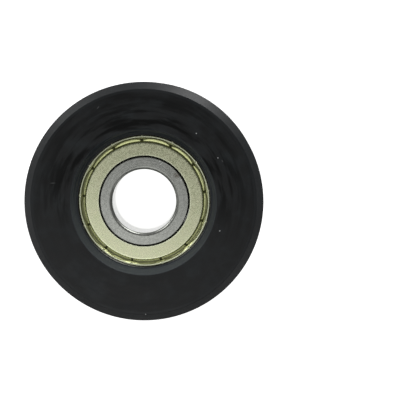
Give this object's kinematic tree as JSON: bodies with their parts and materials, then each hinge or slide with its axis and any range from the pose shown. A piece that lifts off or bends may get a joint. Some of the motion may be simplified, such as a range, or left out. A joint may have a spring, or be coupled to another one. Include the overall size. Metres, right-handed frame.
{
  "type": "escalator step roller",
  "caption": "Escalator step roller: a one-piece black moulded wheel on a shielded ball bearing, which carries a step on its axle along the track.",
  "frame": {"origin": "centre of the bearing's bore, halfway between the roller's two side faces", "axes": "+Z along the spin axis, out of the front face; the part lies on its rear face. X and Y are any two square directions across the wheel"},
  "size_m": [0.075, 0.075, 0.024],
  "materials": {
    "moulded_polymer": "black moulded polymer, satin, with faint scuffs and dust",
    "bearing_steel": "ground bearing steel",
    "ground_steel": "fine-ground bearing steel with a light stain",
    "zinc_yellow_steel": "pale yellow passivated zinc on pressed steel sheet, satin and mottled",
    "cage_steel": "pressed steel, oiled",
    "rivet_steel": "headed steel wire, bright",
    "ball_steel": "polished bearing steel"
  },
  "bodies": {
    "inner_ring": {"bearing_inner_ring": "ground_steel"},
    "roller": {"roller_body": "moulded_polymer", "bearing_outer_ring": "bearing_steel", "front_shield": "zinc_yellow_steel", "rear_shield": "zinc_yellow_steel"},
    "ball_cage": {"cage_front_half": "cage_steel", "cage_rear_half": "cage_steel", "cage_rivets": "rivet_steel"},
    "ball_1_body": {"ball_1": "ball_steel"},
    "ball_2_body": {"ball_2": "ball_steel"},
    "ball_3_body": {"ball_3": "ball_steel"},
    "ball_4_body": {"ball_4": "ball_steel"},
    "ball_5_body": {"ball_5": "ball_steel"},
    "ball_6_body": {"ball_6": "ball_steel"},
    "ball_7_body": {"ball_7": "ball_steel"},
    "ball_8_body": {"ball_8": "ball_steel"}
  },
  "joints": [
    {"name": "roller_spin", "type": "hinge", "parent": "inner_ring", "child": "roller", "pos_m": [0, 0, 0], "axis": [0, 0, 1], "continuous": true},
    {"name": "cage_orbit", "type": "hinge", "parent": "inner_ring", "child": "ball_cage", "pos_m": [0, 0, 0], "axis": [0, 0, 1], "continuous": true},
    {"name": "ball_1_spin", "type": "hinge", "parent": "ball_cage", "child": "ball_1_body", "pos_m": [0.01675, 0, 0], "axis": [0, 0, 1], "continuous": true},
    {"name": "ball_2_spin", "type": "hinge", "parent": "ball_cage", "child": "ball_2_body", "pos_m": [0.01184, 0.01184, 0], "axis": [0, 0, 1], "continuous": true},
    {"name": "ball_3_spin", "type": "hinge", "parent": "ball_cage", "child": "ball_3_body", "pos_m": [0, 0.01675, 0], "axis": [0, 0, 1], "continuous": true},
    {"name": "ball_4_spin", "type": "hinge", "parent": "ball_cage", "child": "ball_4_body", "pos_m": [-0.01184, 0.01184, 0], "axis": [0, 0, 1], "continuous": true},
    {"name": "ball_5_spin", "type": "hinge", "parent": "ball_cage", "child": "ball_5_body", "pos_m": [-0.01675, 0, 0], "axis": [0, 0, 1], "continuous": true},
    {"name": "ball_6_spin", "type": "hinge", "parent": "ball_cage", "child": "ball_6_body", "pos_m": [-0.01184, -0.01184, 0], "axis": [0, 0, 1], "continuous": true},
    {"name": "ball_7_spin", "type": "hinge", "parent": "ball_cage", "child": "ball_7_body", "pos_m": [0, -0.01675, 0], "axis": [0, 0, 1], "continuous": true},
    {"name": "ball_8_spin", "type": "hinge", "parent": "ball_cage", "child": "ball_8_body", "pos_m": [0.01184, -0.01184, 0], "axis": [0, 0, 1], "continuous": true}
  ],
  "couplings": [
    {"joint": "cage_orbit", "follows": "roller_spin", "ratio": 0.61848},
    {"joint": "ball_1_spin", "follows": "roller_spin", "ratio": 1.9916},
    {"joint": "ball_2_spin", "follows": "roller_spin", "ratio": 1.9916},
    {"joint": "ball_3_spin", "follows": "roller_spin", "ratio": 1.9916},
    {"joint": "ball_4_spin", "follows": "roller_spin", "ratio": 1.9916},
    {"joint": "ball_5_spin", "follows": "roller_spin", "ratio": 1.9916},
    {"joint": "ball_6_spin", "follows": "roller_spin", "ratio": 1.9916},
    {"joint": "ball_7_spin", "follows": "roller_spin", "ratio": 1.9916},
    {"joint": "ball_8_spin", "follows": "roller_spin", "ratio": 1.9916}
  ]
}
